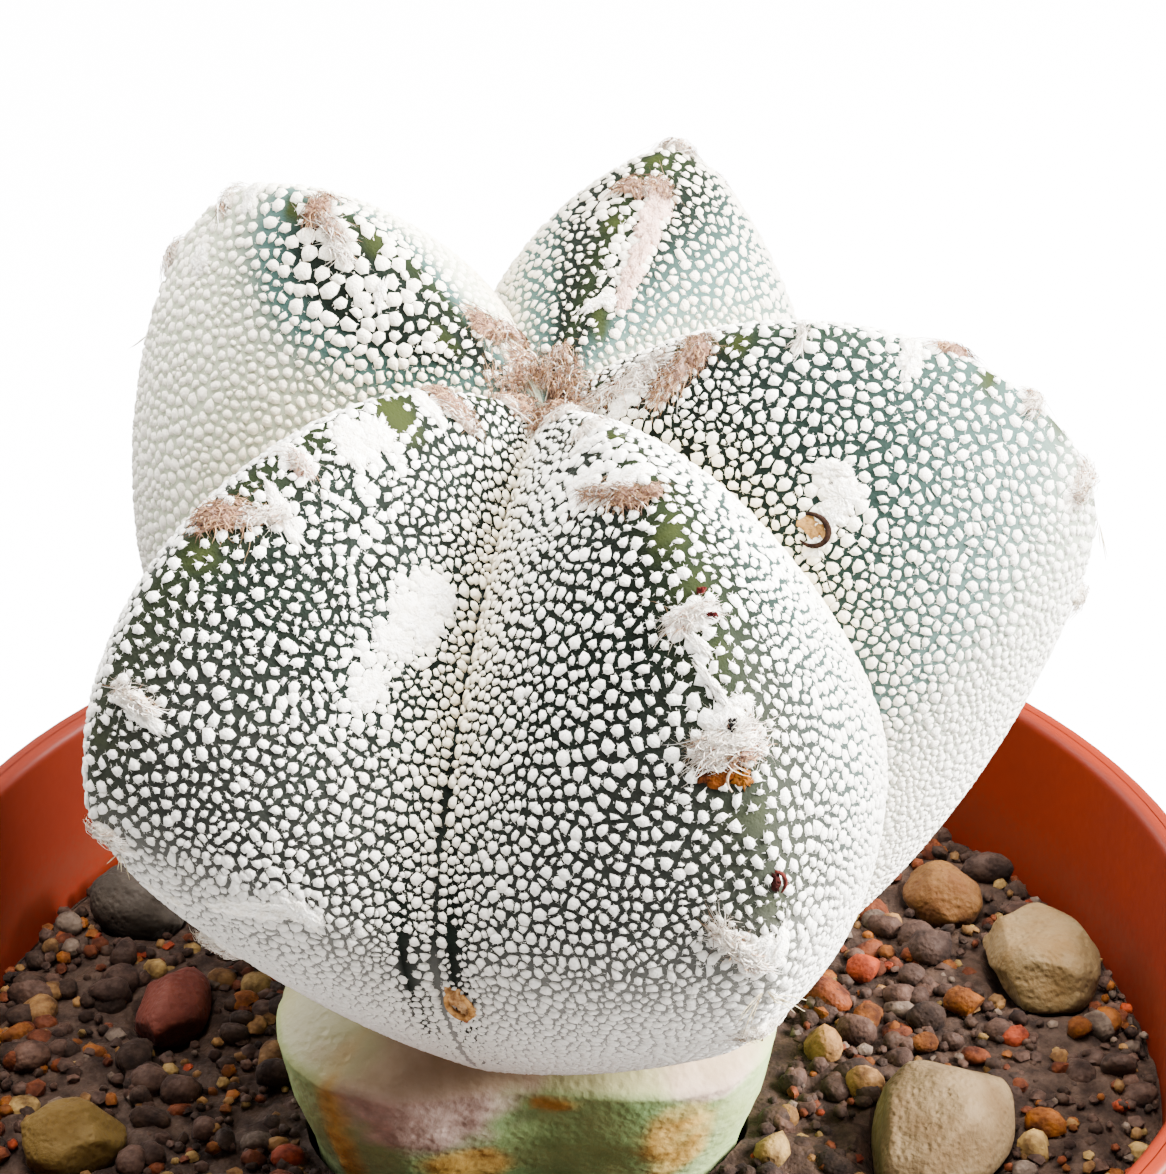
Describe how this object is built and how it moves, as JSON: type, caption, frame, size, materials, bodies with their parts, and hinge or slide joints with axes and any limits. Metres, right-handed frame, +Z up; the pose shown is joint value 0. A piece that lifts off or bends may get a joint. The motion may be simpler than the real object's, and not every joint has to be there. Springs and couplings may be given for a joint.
{
  "type": "potted grafted astrophytum hybrid",
  "caption": "Small ribbed star cactus covered in pale felt flecks, grafted on a thick green stock in gritty mix in a round plastic pot.",
  "frame": {"origin": "centre of the pot's foot, on the surface that the pot stands on", "axes": "+Z up along the pot's axis; the side of the plant that the picture shows faces -Y"},
  "size_m": [0.07, 0.07, 0.1011],
  "materials": {
    "pot_plastic": "smooth moulded red-brown plastic, slightly satin",
    "mix": "rough, dry, gritty",
    "stone": "rough, dry",
    "stock_skin": "waxy green skin with ochre and grey cork",
    "scion_skin": "dark green skin covered in pale felt flecks, with woolly tufts"
  },
  "bodies": {
    "root": {"pot": "pot_plastic", "potting_mix": "mix", "stone_1": "stone", "stone_2": "stone", "stone_3": "stone", "stone_4": "stone", "stone_5": "stone", "stone_6": "stone", "stone_7": "stone", "stone_8": "stone", "stone_9": "stone", "rootstock": "stock_skin", "scion": "scion_skin"}
  },
  "joints": []
}
